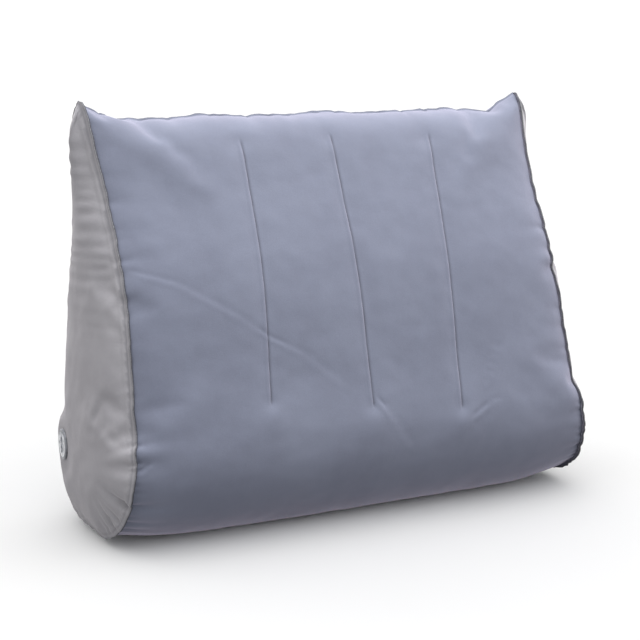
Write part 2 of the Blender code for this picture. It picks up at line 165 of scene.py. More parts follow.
def in_space(yz):
    """An outline direction (y, z) as a direction in space."""
    return np.stack([np.zeros_like(yz[..., 0]), yz[..., 0], yz[..., 1]], axis=-1)


def bell(distance, width):
    """1 in the middle, falling smoothly to nothing over about twice the width."""
    return np.exp(-(distance / width) ** 2)


def seam_reach(z):
    """Distance of a side seam from the middle plane."""
    below = np.clip(1 - z / HEIGHT, 0, 1)
    half = TOP_WIDTH / 2 + (WIDTH - TOP_WIDTH) / 2 * below
    return half - SEAM_PULL * np.sin(np.pi * below ** PULL_SKEW)


def skin(across, way):
    """A point of the frame's sheet: share of the half width, distance along the loop."""
    yz, out = at(way), outward(way)
    y, z = yz[..., 0], yz[..., 1]
    near_top = np.clip((z / HEIGHT - EAR_START) / (1 - EAR_START), 0, None) ** 2
    top_lift = TOP_RADIUS - END_TOP_RADIUS
    lift = END_LIFT + (top_lift - END_LIFT) * near_top
    end = np.clip((np.abs(across) - FLAT_SHARE) / (1 - FLAT_SHARE), 0, None) ** 2
    ear = np.clip((np.abs(across) - 1 + EAR_SHARE) / EAR_SHARE, 0, None) ** 2
    rise = (EAR_RISE * ear + top_lift * end) * near_top
    return np.stack([across * seam_reach(z), y - out[..., 0] * lift * end,
                     z - out[..., 1] * lift * end + SHEET + rise], axis=-1)


# %% [markdown]
# ## Cutting the panels
#
# The maker cuts one long rectangle for the front, floor and back, and two flat drops for the ends,
# and welds them. The bag below is made the same way. Each point keeps two places: where it lies
# in the flat cut, and where it starts, close to the blown-up shape of the frame. The rectangle is
# a plain grid. A drop has no grid that follows its edge, so Blender's own triangulator fills its
# outline with even triangles.

# %% The long panel
CELL = 0.008          # size of a sheet cell while it is blown up
CUT_HALF = 0.276      # half the width of the flat rectangle
columns = round(2 * CUT_HALF / CELL)
lines = round(GIRTH / CELL)
front_lines = round(LOW_SEAM / GIRTH * lines)
ways = np.concatenate([np.linspace(0, LOW_SEAM, front_lines + 1),
                       np.linspace(LOW_SEAM, GIRTH, lines - front_lines + 1)[1:]])

bm = bmesh.new()
cut_place = bm.verts.layers.float_vector.new("cut")
column_of = bm.verts.layers.int.new("column")
line_of = bm.verts.layers.int.new("line")
panel_of = bm.faces.layers.int.new("panel")
grid = bmesh.ops.create_grid(bm, x_segments=columns, y_segments=lines, size=0.5)["verts"]
for vert in grid:
    vert[column_of] = round((vert.co.x + 0.5) * columns) + 1
    vert[line_of] = round((vert.co.y + 0.5) * lines) + 1
across = np.array([2 * (v[column_of] - 1) / columns - 1 for v in grid])
way = np.array([ways[v[line_of] - 1] for v in grid])
for vert, start, share, flat in zip(grid, skin(across, way), across, at(way)):
    vert.co = start
    vert[cut_place] = (share * CUT_HALF, *flat)
print("long panel", columns, "by", lines, "cells")


# %% The two end panels
def inside(points, ring):
    """Which of the points lie inside a ring, by counting how often a line leftwards crosses it."""
    a, b = ring, np.roll(ring, -1, axis=0)
    x, y = points[:, None, 0], points[:, None, 1]
    crosses = (a[:, 1] > y) != (b[:, 1] > y)
    rise = np.where(b[:, 1] == a[:, 1], 1.0, b[:, 1] - a[:, 1])
    return (crosses & (x < (b[:, 0] - a[:, 0]) * (y - a[:, 1]) / rise + a[:, 0])).sum(1) % 2 == 1


def to_ring(points, ring):
    """Distance from each point to a ring, the ring's nearest side, and the share of that side."""
    a, ab = ring, np.roll(ring, -1, axis=0) - ring
    share = np.clip(((points[:, None] - a) * ab).sum(-1) / (ab * ab).sum(-1), 0, 1)
    gap = np.linalg.norm(points[:, None] - a - ab * share[..., None], axis=-1)
    nearest = gap.argmin(1)
    row = np.arange(len(points))
    return gap[row, nearest], nearest, share[row, nearest]


VALVE_HOLE = 0.0152              # radius of the hole in the left end panel
COARSE_HOLE, FINE_HOLE = 16, 64  # points round it, while the bag is blown up and as shown
DRAWN_IN = 0.04                  # how far in from its seam an end panel is drawn to the seam
low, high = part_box("valve_base")
valve_spot = np.array([(low.y + high.y) / 2, (low.z + high.z) / 2])


def cut_drop(ring, cell, hole_points):
    """Flat points and triangles of an end panel, and each point's number on the ring, or -1."""
    hole = np.array([valve_spot + VALVE_HOLE * np.array((math.cos(t), math.sin(t)))
                     for t in np.linspace(0, 2 * math.pi, hole_points, endpoint=False)])
    lows, highs = ring.min(0), ring.max(0)
    spots = np.array([(y + cell / 2 * (i % 2), z)
                      for i, z in enumerate(np.arange(lows[1], highs[1], cell * math.sqrt(0.75)))
                      for y in np.arange(lows[0], highs[0], cell)])
    spots = spots[inside(spots, ring)]
    spots = spots[to_ring(spots, ring)[0] > 0.6 * cell]
    spots = spots[to_ring(spots, hole)[0] > 0.5 * cell]
    outline = np.vstack([ring, hole, spots])
    count = len(ring)
    edges = [(i, (i + 1) % count) for i in range(count)]
    edges += [(count + i, count + (i + 1) % hole_points) for i in range(hole_points)]
    points, _, triangles, sources, _, _ = delaunay_2d_cdt(
        [Vector(map(float, p)) for p in outline], edges, [], 1, 1e-6)
    on_ring = [next((j for j in source if j < count), -1) for source in sources]
    return np.array([tuple(p) for p in points]), triangles, on_ring


ring = at(ways[:-1])
count = len(ring)
flat_points, triangles, ring_index = cut_drop(ring, CELL, COARSE_HOLE)
depth, nearest, _ = to_ring(flat_points, ring)
print("end panel", len(flat_points), "points", len(triangles), "triangles")

# %% Weld the bag
for side in (-1, 1):
    seam = skin(np.full(count, float(side)), ways[:-1])
    shift = (seam[:, 1:] - ring)[nearest] * np.exp(-depth / DRAWN_IN)[:, None]
    swell = GUSSET_BULGE * (1 - (1 - np.clip(depth / SWELL_WIDTH, 0, 1)) ** 2)
    made = []
    for i, (y, z) in enumerate(flat_points + shift):
        k = ring_index[i]
        place = seam[k] if k >= 0 else (side * (float(seam_reach(z)) + swell[i]), y, z)
        vert = bm.verts.new(place)
        vert[cut_place] = (side * CUT_HALF, *flat_points[i])
        if k >= 0:
            vert[line_of] = k + 1
            vert[column_of] = 1 if side < 0 else columns + 1
        made.append(vert)
    for triangle in triangles:
        bm.faces.new([made[i] for i in triangle])[panel_of] = 1 if side < 0 else 2
bmesh.ops.remove_doubles(bm, verts=bm.verts, dist=1e-5)
bmesh.ops.recalc_face_normals(bm, faces=bm.faces)
bag_mesh = bpy.data.meshes.new("bag")
bm.to_mesh(bag_mesh)
print("bag of", len(bm.faces), "cells holds", round(bm.calc_volume() * 1000, 1), "litres; closed:",
      all(edge.is_manifold for edge in bm.edges))
bm.free()
bag = bpy.data.objects.new("bag", bag_mesh)
bpy.context.scene.collection.objects.link(bag)

# %% [markdown]
# ## Blowing it up
#
# A cloth modifier with pressure pushes the sheet outward. Its springs take their lengths from the
# flat cut, kept in a shape key, so the sheet can't simply stretch: it has too much length beside
# the seams and puckers there, as the real one does. Every point is also held a little to where it
# starts, because the real pillow's inner webs stop it from growing round.


# %% Cloth settings
def places(mesh):
    got = np.zeros(len(mesh.vertices) * 3, np.float32)
    mesh.vertices.foreach_get("co", got)
    return got.reshape(-1, 3).astype(float)


def layer(mesh, name, kind="value", width=1, number=np.int32):
    got = np.zeros(len(mesh.attributes[name].data) * width, number)
    mesh.attributes[name].data.foreach_get(kind, got)
    return got


start_places = places(bag_mesh)
bag.shape_key_add(name="start", from_mix=False)
cut_key = bag.shape_key_add(name="cut", from_mix=False)
cut_key.data.foreach_set("co", layer(bag_mesh, "cut", "vector", 3, np.float32))
hold = bag.vertex_groups.new(name="hold")
on_floor = [v.index for v in bag_mesh.vertices
            if v.co.z < 0.0015 and abs(v.co.x) < 0.20 and abs(v.co.y) < 0.03]
hold.add(list(range(len(bag_mesh.vertices))), 0.2, "REPLACE")
hold.add(on_floor, 1.0, "REPLACE")

cloth = bag.modifiers.new("blow_up", "CLOTH")
sheet = cloth.settings
sheet.quality = 8
sheet.mass = 0.3
sheet.rest_shape_key = cut_key
sheet.tension_stiffness = 80
sheet.compression_stiffness = 20
sheet.shear_stiffness = 24
sheet.bending_stiffness = 10
sheet.tension_damping = sheet.compression_damping = sheet.shear_damping = 5
sheet.use_pressure = True
sheet.uniform_pressure_force = 40
sheet.vertex_group_mass = "hold"
sheet.pin_stiffness = 0.5
sheet.effector_weights.gravity = 0
cloth.collision_settings.use_collision = False
cloth.collision_settings.use_self_collision = False
FRAMES = 24
cloth.point_cache.frame_start, cloth.point_cache.frame_end = 1, FRAMES

# %% Run it
blown = start_places
began = time.perf_counter()
for number in range(1, FRAMES + 1):
    bpy.context.scene.frame_set(number)
solved = bag.evaluated_get(bpy.context.evaluated_depsgraph_get())
blown = places(solved.data)
print("blown up in", round(time.perf_counter() - began, 1), "s; mean move",
      round(float(np.linalg.norm(blown - start_places, axis=1).mean()) * 1000, 1), "mm")

# %% [markdown]
# ## Back onto the frame
#
# The solver lets the whole bag drift by a centimetre or so. The drift is wanted gone and the
# puckers are wanted kept, so the difference between the start and the result is smoothed over the
# sheet until only its slow part is left, and that slow part is taken back. Round the valve
# everything is taken back, so that the sheet lies flat under the valve's lip.

# %% Take the drift back
pairs = np.array([edge.vertices[:] for edge in bag_mesh.edges])
ends = np.concatenate([pairs[:, 0], pairs[:, 1]])
others = np.concatenate([pairs[:, 1], pairs[:, 0]])
neighbours = np.bincount(ends, minlength=len(start_places)).astype(float)


def smoothed(field, rounds):
    """A field over the bag's points, each time averaged with the neighbours."""
    for _ in range(rounds):
        mean = np.stack([np.bincount(ends, field[others, k], minlength=len(field))
                         for k in range(field.shape[1])], axis=1) / neighbours[:, None]
        field = 0.5 * field + 0.5 * mean
    return field


def eased(share):
    """A share from 0 to 1 that starts and ends gently."""
    return share ** 2 * (3 - 2 * share)


def mean_mm(rows):
    return round(float(np.linalg.norm(rows, axis=1).mean()) * 1000, 1)


SMOOTHINGS = 40                             # rounds of averaging that leave only the slow drift
HELD_REACH, HELD_FADE = 0.050, 0.024        # round the valve the start places are kept
FLAT_REACH, FLAT_FADE = 0.040, 0.014        # and closer to it the sheet is made flat
turning = next(j for j in frame["joints"] if j["name"] == "insert_turn")
valve_out, valve_face = np.array(turning["axis"]), np.array(turning["pos_m"])
from_valve = np.linalg.norm(start_places - valve_face, axis=1)
drift = smoothed(start_places - blown, SMOOTHINGS)
near_valve = eased(np.clip((HELD_REACH - from_valve) / HELD_FADE, 0, 1)[:, None])
fitted = blown + drift * (1 - near_valve) + (start_places - blown) * near_valve
offset = (fitted - valve_face) @ valve_out + SHEET
flat_ring = np.clip((FLAT_REACH - from_valve) / FLAT_FADE, 0, 1)
fitted = fitted - np.outer(flat_ring * offset, valve_out)
print("drift taken back, mean", mean_mm(drift), "mm; puckers left, mean",
      mean_mm(fitted - start_places), "mm")


# %% [markdown]
# ## Smooth sheets from coarse cells
#
# The solver's cells are 8 mm, and a weld line is 1 mm wide. A cubic spline through the solved grid
# gives a smooth place for any share of the width and any distance along the loop, so the shown
# sheets can be as fine as their details need.


# %% A smooth sampler
rank = layer(bag_mesh, "line") - 1
file = layer(bag_mesh, "column") - 1
solved_grid = np.full((lines + 1, columns + 1, 3), np.nan)
known = rank >= 0
solved_grid[rank[known], file[known]] = fitted[known]
for first, last in ((0, lines), (lines, 0)):
    lost = np.isnan(solved_grid[first, :, 0])
    solved_grid[first, lost] = solved_grid[last, lost]
print("grid points still missing:", int(np.isnan(solved_grid).sum()))


def padded_ends(part):
    """One more row past each end, so that the spline ends on the outermost points."""
    for _ in range(2):
        part = np.concatenate([2 * part[:1] - part[1:2], part, 2 * part[-1:] - part[-2:-1]])
        part = part.swapaxes(0, 1)
    return part


def spline_weights(t):
    return [(1 - t) ** 3 / 6, (3 * t ** 3 - 6 * t ** 2 + 4) / 6,
            (-3 * t ** 3 + 3 * t ** 2 + 3 * t + 1) / 6, t ** 3 / 6]


def sample(part, line, column):
    """Smooth places on a padded grid of points."""
    line = np.clip(line, 0, part.shape[0] - 3 - 1e-6)
    column = np.clip(column, 0, part.shape[1] - 3 - 1e-6)
    i, j = np.floor(line).astype(int), np.floor(column).astype(int)
    down, over = spline_weights(line - i), spline_weights(column - j)
    return sum(down[a][..., None] * over[b][..., None] * part[i + a, j + b]
               for a in range(4) for b in range(4))


def facing(part, line, column, step=0.3):
    """Outward normals there."""
    top, bottom = part.shape[0] - 3 - 1e-6, part.shape[1] - 3 - 1e-6
    along = (sample(part, np.clip(line + step, 0, top), column)
             - sample(part, np.clip(line - step, 0, top), column))
    over = (sample(part, line, np.clip(column + step, 0, bottom))
            - sample(part, line, np.clip(column - step, 0, bottom)))
    normal = np.cross(over, along)
    normal /= np.linalg.norm(normal, axis=-1, keepdims=True)
    return -normal


front_part = padded_ends(solved_grid[:front_lines + 1])
back_part = padded_ends(solved_grid[front_lines:])
middle_facing = facing(front_part, np.array([front_lines * 0.4]), np.array([columns / 2]))[0]
print("the front looks towards", middle_facing.round(2))

# %% [markdown]
# ## Seams and their fins
#
# Two sheets are welded with their inner faces together, so a flat fin about 5 mm wide stands all
# round the pillow. Along the front it leans over the front sheet, and its cut edge shows as a thin
# dark line. The fin is also painted darker towards that edge. The seam is shorter than the sheets,
# so it pulls in at uneven distances: each notch starts a small valley in both sheets. One list of
# notches is used by both sheets and by the fin, which keeps them together.


# %% Notches along a seam
def notches(seed, first, last, step, depth):
    """Rows of (place, depth, width, length) along a seam, spaced and sized unevenly."""
    pick = np.random.default_rng(seed)
    rows, place = [], first
    while True:
        place += step * pick.uniform(0.45, 1.7)
        if place > last:
            return np.array(rows)
        strong = pick.uniform(0.15, 1.0) ** 1.5
        rows.append((place, depth * strong, pick.uniform(0.0022, 0.0050),
                     0.008 + 0.022 * strong * pick.uniform(0.7, 1.3)))


def valleys(rows, place, inward, longer=1.0):
    """How far the sheet is pulled in, at a place along the seam and a distance from it."""
    pulled = np.zeros(np.broadcast(place, inward).shape)
    for spot, deep, wide, long in rows:
        spread = wide * (1 + inward / 0.020)
        pulled += deep * np.exp(-((place - spot) / spread) ** 2 - inward / (long * longer))
    return pulled


SLOPE_START, ROUND_START, ROUND_END = 0.03, 0.34, 0.50   # along the loop: slope, round low front


def seam_notches(seeds, slope, low_front):
    """Notches of a side seam. Its slope and its low front each have a step and a depth."""
    return np.vstack([notches(seeds[0], SLOPE_START, ROUND_START, *slope),
                      notches(seeds[1], ROUND_START, ROUND_END, *low_front),
                      notches(seeds[2], ROUND_END, GIRTH, 0.020, 0.0009)])


side_notches = {-1: seam_notches((3, 8, 5), (0.017, 0.0014), (0.0085, 0.0026)),
                1: seam_notches((4, 9, 6), (0.019, 0.0017), (0.0120, 0.0028))}
# the deepest pleats, at the round lower front of the left end
deep_pleats = np.array([(0.368, 0.0030, 0.0028, 0.016), (0.374, 0.0022, 0.0024, 0.014),
                        (0.418, 0.0052, 0.0034, 0.030), (0.446, 0.0026, 0.0028, 0.030),
                        (0.461, 0.0030, 0.0028, 0.034), (0.476, 0.0024, 0.0028, 0.030)])
side_notches[-1] = np.vstack([side_notches[-1], deep_pleats])
small_puckers = np.array([(place, 0.0026 + 0.0010 * math.sin(place * 900), 0.0028, 0.0085)
                          for place in np.arange(0.365, 0.500, 0.0086)])
top_notches = notches(7, -CUT_HALF, CUT_HALF, 0.019, 0.0020)
low_notches = notches(2, -CUT_HALF, CUT_HALF, 0.024, 0.0009)
print("notches: left", len(side_notches[-1]), "right", len(side_notches[1]),
      "top", len(top_notches))


# %% The fin's direction and width
TOP_LEAN, LOW_LEAN = -38, -40     # degrees that the end fins hang over
CORNER_FADE = 0.012               # side notches fade this far from a corner


def turned_by(angle, a, b):
    return a * np.cos(angle)[..., None] + b * np.sin(angle)[..., None]


def side_fin(side, place):
    """Direction and width of a side fin at a distance along the loop."""
    out = outward(place)
    up = in_space(out)
    outer = np.array([float(side), 0.0, 0.0]) * np.ones_like(up)
    # it leans over the long sheet, less so at the top corner
    near_top = np.clip(1 - np.minimum(place, GIRTH - place) / 0.03, 0, 1)
    high_back = (np.clip((place - GIRTH + 0.17) / 0.06, 0, 1)
                 * np.clip((GIRTH - place) / 0.02, 0, 1))
    lean = np.radians(8 * near_top - 20 + 85 * high_back)
    wave = (np.radians(4) * np.sin(place * 130 + side)
            + np.radians(2.5) * np.sin(place * 311 + 2 * side))
    width = FIN * (0.86 + 0.04 * np.sin(place * 160 + 2 * side) + 0.03 * np.sin(place * 433)
                   - 0.62 * near_top)
    return turned_by(lean + wave, up, outer), width


def end_fin(place, x):
    """Direction and width of the fin between front and back sheet, and the way round the loop."""
    out = outward(np.full_like(x, place))
    up = in_space(out)
    along = in_space(np.stack([-out[..., 1], out[..., 0]], axis=-1))
    # the top fin has fallen over backwards, the low one hangs down
    lean = TOP_LEAN if place < 0.1 or place > GIRTH - 0.1 else LOW_LEAN
    wave = np.radians(lean) + np.radians(7) * np.sin(x * 95) + np.radians(5) * np.sin(x * 232 + 1)
    width = FIN * (0.52 + 0.06 * np.sin(x * 190 + 1) + 0.05 * np.sin(x * 377))
    return turned_by(wave, up, along), width, along


def side_pull(side, place, inward=0.0, longer=1.0):
    """How deep the valleys of a side seam are, fading at the corners."""
    at_corner = np.minimum(np.minimum(place, GIRTH - place), np.abs(place - LOW_SEAM))
    fade = np.clip(at_corner / CORNER_FADE, 0, 1)
    return valleys(side_notches[side], place, inward, longer) * fade


FIN_STEPS = (0.4, 0.72, 1.0)     # rows of a fin, as shares of its width
FIN_DARKENING = (0.10, 0.30, 1.0)     # how much darker each row is painted, nearly black at the cut edge


# %% [markdown]
# ## Sculpted lines on the front
#
# Three inner webs are welded to the front sheet along straight lines. Each line shows as a thin
# groove in a shallow channel, ends in a small dimple, and has a soft bump below its lower end,
# where the web stops and the air pushes out. A few long creases come from the way the sheet was
# folded in its bag. They are added along the sheet's normals, in metres.

# %% Weld lines and creases
# each line: x and z of its top, x and z of its lower end
WELD_LINES = ((-0.101, 0.393, -0.116, 0.136), (0.004, 0.396, -0.003, 0.122),
              (0.125, 0.393, 0.100, 0.110))
CREASES = (
    # points as (x, z), depth, width of the line
    (((-0.262, 0.283), (-0.203, 0.262), (-0.140, 0.225), (-0.109, 0.203), (-0.074, 0.184),
      (-0.040, 0.156), (-0.018, 0.138)), 0.0005, 0.0020),
    (((0.000, 0.136), (0.021, 0.108), (0.040, 0.076)), 0.0007, 0.0022),
    (((0.108, 0.102), (0.144, 0.120)), 0.0007, 0.0022),
    (((0.132, 0.130), (0.147, 0.155), (0.160, 0.176)), 0.0007, 0.0022),
    (((-0.274, 0.106), (-0.250, 0.117)), 0.0010, 0.0022),
    (((-0.274, 0.074), (-0.240, 0.098)), 0.0012, 0.0022),
)


def to_path(points, x, z):
    """Signed distance to a path, and the share of the path that is nearest."""
    points = np.array(points)
    lengths = np.linalg.norm(np.diff(points, axis=0), axis=1)
    starts = np.concatenate([[0], np.cumsum(lengths)])
    best = np.full(x.shape, np.inf)
    signed, share = np.zeros(x.shape), np.zeros(x.shape)
    for a, b, size, before in zip(points, points[1:], lengths, starts):
        along = (b - a) / size
        t = np.clip((x - a[0]) * along[0] + (z - a[1]) * along[1], 0, size)
        dx, dz = x - a[0] - along[0] * t, z - a[1] - along[1] * t
        gap = np.hypot(dx, dz)
        nearer = gap < best
        side = np.where(dx * along[1] - dz * along[0] >= 0, 1.0, -1.0)
        best = np.where(nearer, gap, best)
        signed = np.where(nearer, side * gap, signed)
        share = np.where(nearer, (before + t) / starts[-1], share)
    return signed, share


def from_line(line, x, z):
    """Distance to the right of a weld line."""
    top_x, top, bottom_x, bottom = line
    share = np.clip((z - bottom) / (top - bottom), -0.2, 1.1)
    return x - bottom_x - (top_x - bottom_x) * share


def on_line(line, z):
    return np.clip((z - line[3]) / 0.005, 0, 1) * np.clip((line[1] - z) / 0.005, 0, 1)


def weld_melt_and_shade(x, z):
    """How much darker the sheet is painted along the weld lines, from 0 to 1: melted flock, and
    painted shade on each groove's right wall.
    """
    return 0.6 * sum(bell(from_line(line, x, z) - 0.0004, 0.0011) * on_line(line, z)
                     for line in WELD_LINES)


def sculpt(x, z, creases):
    """Height to add to a sheet along its normal, for its weld lines and its creases."""
    height = np.zeros(x.shape)
    for line in WELD_LINES:
        top, bottom = line[1], line[3]
        off = from_line(line, x, z)
        inside_line = on_line(line, z)
        wide_fade = (np.clip((z - bottom + 0.01) / 0.05, 0, 1)
                     * np.clip((top + 0.01 - z) / 0.04, 0, 1))
        height -= 0.0012 * bell(off, 0.0012) * inside_line              # the groove
        height += 0.0005 * bell(off + 0.0030, 0.0018) * inside_line     # its lip
        height -= 0.0015 * bell(off, 0.014) * wide_fade                 # the wide channel
        below = np.hypot(off + 0.001, (z - bottom + 0.013) / 0.9)
        height += 0.0020 * bell(below, 0.018)                           # the bump below it
        height -= 0.0011 * bell(np.hypot(off, z - bottom - 0.003), 0.007)
        above = np.hypot(off + 0.006, (z - top + 0.004) / 0.8)
        height -= 0.0016 * bell(above, 0.013)                           # the dip at its top
    for points, deep, wide in creases:
        off, share = to_path(points, x, z)
        fade = np.clip(np.minimum(share, 1 - share) / 0.12, 0, 1)
        height -= deep * fade * bell(off, wide)
        height += 0.7 * deep * fade * bell(off - 1.9 * wide, 1.4 * wide)
    return height


def rolling(points, size, seed):
    """Slow unevenness between -1 and 1."""
    flat = points.reshape(-1, 3) / size + seed
    return np.array([noise.noise(p) for p in flat]).reshape(points.shape[:-1])


# %% [markdown]
# ## The shown sheets
#
# A panel is a grid whose rows and columns are close together where there is fine detail: beside
# the seams and on the weld lines. Extra rows and columns outside make its half of the weld fin. The
# sheet gets its real thickness from Solidify, on the outer side, and the rim that this makes is
# the raw cut edge, with its own material.


# %% Panel of the long rectangle
MEAN_HALF = 0.2588      # mean distance of the side seams from the middle
SEAM_BLEND = 0.004      # closer to a seam than this, both sheets move together
SEAM_CALM = 0.010       # closer than this the sculpted heights fade out
SLOPE_END = 0.43        # way along the loop where the front turns under


def spread(marks, steps):
    """Numbers from the first mark to the last, with a step for each stretch between."""
    rows = [np.linspace(a, b, max(1, round((b - a) / s)) + 1)[:-1]
            for a, b, s in zip(marks, marks[1:], steps)]
    return np.concatenate(rows + [[marks[-1]]])


def thicken(piece, thickness=SHEET):
    """Real thickness on the outer side, then sharp shading where the sheet is cut or folded."""
    wall = piece.modifiers.new("sheet", "SOLIDIFY")
    wall.thickness = thickness
    wall.offset = 1
    wall.material_offset_rim = 1
    bpy.context.view_layer.update()
    seen = piece.evaluated_get(bpy.context.evaluated_depsgraph_get())
    made = bpy.data.meshes.new_from_object(seen)
    made.name = piece.name
    piece.modifiers.clear()
    piece.data = made
    made.shade_smooth()
    made.set_sharp_from_angle(angle=math.radians(62))
    return made


def new_piece(name, bm, *materials):
    mesh = bpy.data.meshes.new(name)
    bm.to_mesh(mesh)
    bm.free()
    for material in materials:
        mesh.materials.append(material)
    piece = bpy.data.objects.new(name, mesh)
    bpy.context.scene.collection.objects.link(piece)
    return piece


def panel_points(part, first_line, place, share, creases):
    """Places of a long panel's points, with its sculpted lines and its valleys at the seams."""
    line = np.interp(place, ways, np.arange(lines + 1)) - first_line
    column = (share + 1) / 2 * columns
    spot, normal = sample(part, line, column), facing(part, line, column)
    x, z = share * MEAN_HALF, at(place)[..., 1]
    inward_side = (1 - np.abs(share)) * MEAN_HALF
    inward_end = np.minimum(np.minimum(place, GIRTH - place), np.abs(place - LOW_SEAM))
    calm = np.clip(np.minimum(inward_side, inward_end) / SEAM_CALM, 0, 1)
    on_slope = np.clip((SLOPE_END - place) / 0.02, 0, 1) if creases else 1.0
    height = sculpt(x, z, creases) * calm * on_slope
    height += 0.0009 * calm * rolling(spot, 0.045, 1) + 0.0004 * calm * rolling(spot, 0.017, 5)
    spot = spot + normal * height[..., None]
    up = in_space(outward(place))
    for side in (-1, 1):
        inward = (1 - side * share) * MEAN_HALF
        pull = side_pull(side, place, inward)
        if creases:
            pull = pull + valleys(small_puckers, place, inward) * np.clip(inward / 0.004, 0, 1)
        together = np.exp(-inward / SEAM_BLEND)[..., None]
        both = (up + np.array([side, 0.0, 0.0])) / 2
        spot = spot - pull[..., None] * ((1 - together) * normal + together * both)
    for seam, rows in ((0.0, top_notches), (GIRTH, top_notches), (LOW_SEAM, low_notches)):
        inward = np.abs(place - seam)
        pull = valleys(rows, x, inward) * np.clip(inward_side / 0.012, 0, 1)
        together = np.exp(-inward / SEAM_BLEND)[..., None]
        both = in_space(outward(np.array(seam)))
        spot = spot - pull[..., None] * ((1 - together) * normal + together * both)
        if seam != LOW_SEAM:
            wavy = 0.0011 * np.sin(x * 47 + 1) + 0.0006 * np.sin(x * 88)
            wavy = wavy * np.exp(-inward / 0.030) * np.clip(inward_side / 0.04, 0, 1)
            spot = spot + wavy[..., None] * both
    spot[..., 2] = np.maximum(spot[..., 2], SHEET)      # it stands on the floor
    return spot


def fin_points(seam, direction, width, towards):
    """Rows of points outside a seam, shifted half the weld gap to their own side."""
    along = np.gradient(seam, axis=0)
    side = np.cross(along, direction)
    side /= np.linalg.norm(side, axis=-1, keepdims=True)
    side *= np.sign((side * towards).sum(-1, keepdims=True))
    rows = [seam + direction * (width * step)[:, None] + side * WELD_GAP / 2 for step in FIN_STEPS]
    for row in rows:
        row[:, 2] = np.maximum(row[:, 2], 2 * SHEET)
    return rows


def long_panel(name, part, first_line, place_rows, shares, creases, *materials):
    """A sheet with its fins. Also returns its side edges, which the end panels meet."""
    place, share = np.meshgrid(place_rows, shares, indexing="ij")
    spot = panel_points(part, first_line, place, share, creases)
    fins = len(FIN_STEPS)
    rows, across_count = place.shape
    full = np.zeros((rows + 2 * fins, across_count + 2 * fins, 3))
    full[fins:-fins, fins:-fins] = spot
    for side, edge in ((-1, 0), (1, -1)):
        direction, width = side_fin(side, place_rows)
        towards = np.array([-float(side), 0.0, 0.0])
        made = fin_points(spot[:, edge], direction, width, towards)
        for k, points in enumerate(made):
            full[fins:-fins, fins - 1 - k if side < 0 else across_count + fins + k] = points
    for end, edge in ((0, 0), (1, -1)):
        direction, width, along = end_fin(place_rows[edge], shares * MEAN_HALF)
        own_side = along if end == 0 else -along
        for k, points in enumerate(fin_points(spot[edge], direction, width, own_side)):
            full[fins - 1 - k if end == 0 else rows + fins + k, fins:-fins] = points
    # painted darker along the weld lines (melted flock, and painted shade of the grooves) and over
    # the fins
    flatness = np.zeros(full.shape[:2])
    flatness[fins:-fins, fins:-fins] = weld_melt_and_shade(share * MEAN_HALF, at(place)[..., 1])
    for k, flat in enumerate(FIN_DARKENING):
        for line in (flatness[fins - 1 - k], flatness[-fins + k], flatness[:, fins - 1 - k],
                     flatness[:, -fins + k]):
            line[:] = np.maximum(line, flat)
    bm = bmesh.new()
    melt_and_shade = bm.verts.layers.float.new("melt_and_shade")
    height, wide = full.shape[0] - 1, full.shape[1] - 1
    verts = bmesh.ops.create_grid(bm, x_segments=wide, y_segments=height, size=0.5)["verts"]
    corner = []
    for vert in verts:
        i, j = round((vert.co.y + 0.5) * height), round((vert.co.x + 0.5) * wide)
        vert.co = full[i, j]
        vert[melt_and_shade] = flatness[i, j]
        if (i < fins or i > height - fins) and (j < fins or j > wide - fins):
            corner.append(vert)
    bmesh.ops.delete(bm, geom=corner, context="VERTS")
    # one face in the middle says whether the sheet looks outwards
    inner = Vector(spot[rows // 3, across_count // 2])
    middle = min(bm.faces, key=lambda f: (f.calc_center_median() - inner).length)
    middle.normal_update()
    if middle.normal.dot(Vector((0, inner.y, 0.02))) < 0:
        bmesh.ops.reverse_faces(bm, faces=bm.faces)
    piece = new_piece(name, bm, *materials)
    thicken(piece)
    print(name, len(piece.data.polygons), "faces")
    return piece, spot[:, 0], spot[:, -1]


# %% [markdown]
# ## Flocked sheet
#
# Flock is a carpet of half-millimetre fibres glued to the PVC. It shows no gloss, but it catches
# light at a flat angle, so its outline looks brighter and a little lilac: that is the shader's
# sheen. Strokes of a hand lay the fibres over in soft patches, which a slow noise gives, and a
# fine noise gives the fibres themselves. Along the weld lines the fibres are melted flat, and the
# dark side of each groove is painted shade. The fins are painted darker too. A vertex attribute
# says where that is.


# %% Nodes in short
def finish(name):
    material = bpy.data.materials.new(name)
    material.use_nodes = True
    tree = material.node_tree
    place = tree.nodes.new("ShaderNodeTexCoord").outputs["Object"]
    return material, tree, tree.nodes["Principled BSDF"], place


def joined(tree, kind, inputs=(), **settings):
    """A new node, with each input set to a number or joined to another node's output."""
    node = tree.nodes.new(kind)
    for key, value in settings.items():
        setattr(node, key, value)
    for socket, value in inputs:
        if isinstance(value, bpy.types.NodeSocket):
            tree.links.new(value, node.inputs[socket])
        else:
            node.inputs[socket].default_value = value
    return node


def noise_of(tree, place, scale, detail=3.0, rough=0.5, stretch=(1, 1, 1)):
    turned = joined(tree, "ShaderNodeMapping", [("Vector", place), ("Scale", stretch)])
    return joined(tree, "ShaderNodeTexNoise",
                  [("Vector", turned.outputs[0]), ("Scale", scale), ("Detail", detail),
                   ("Roughness", rough)]).outputs["Fac"]


def ramp(tree, value, low, high, first=0.0, last=1.0):
    return joined(tree, "ShaderNodeMapRange",
                  [("Value", value), ("From Min", low), ("From Max", high), ("To Min", first),
                   ("To Max", last)]).outputs["Result"]


def mix(tree, share, a, b, kind="MIX"):
    return joined(tree, "ShaderNodeMix", [(0, share), (6, a), (7, b)], data_type="RGBA",
                  blend_type=kind).outputs[2]


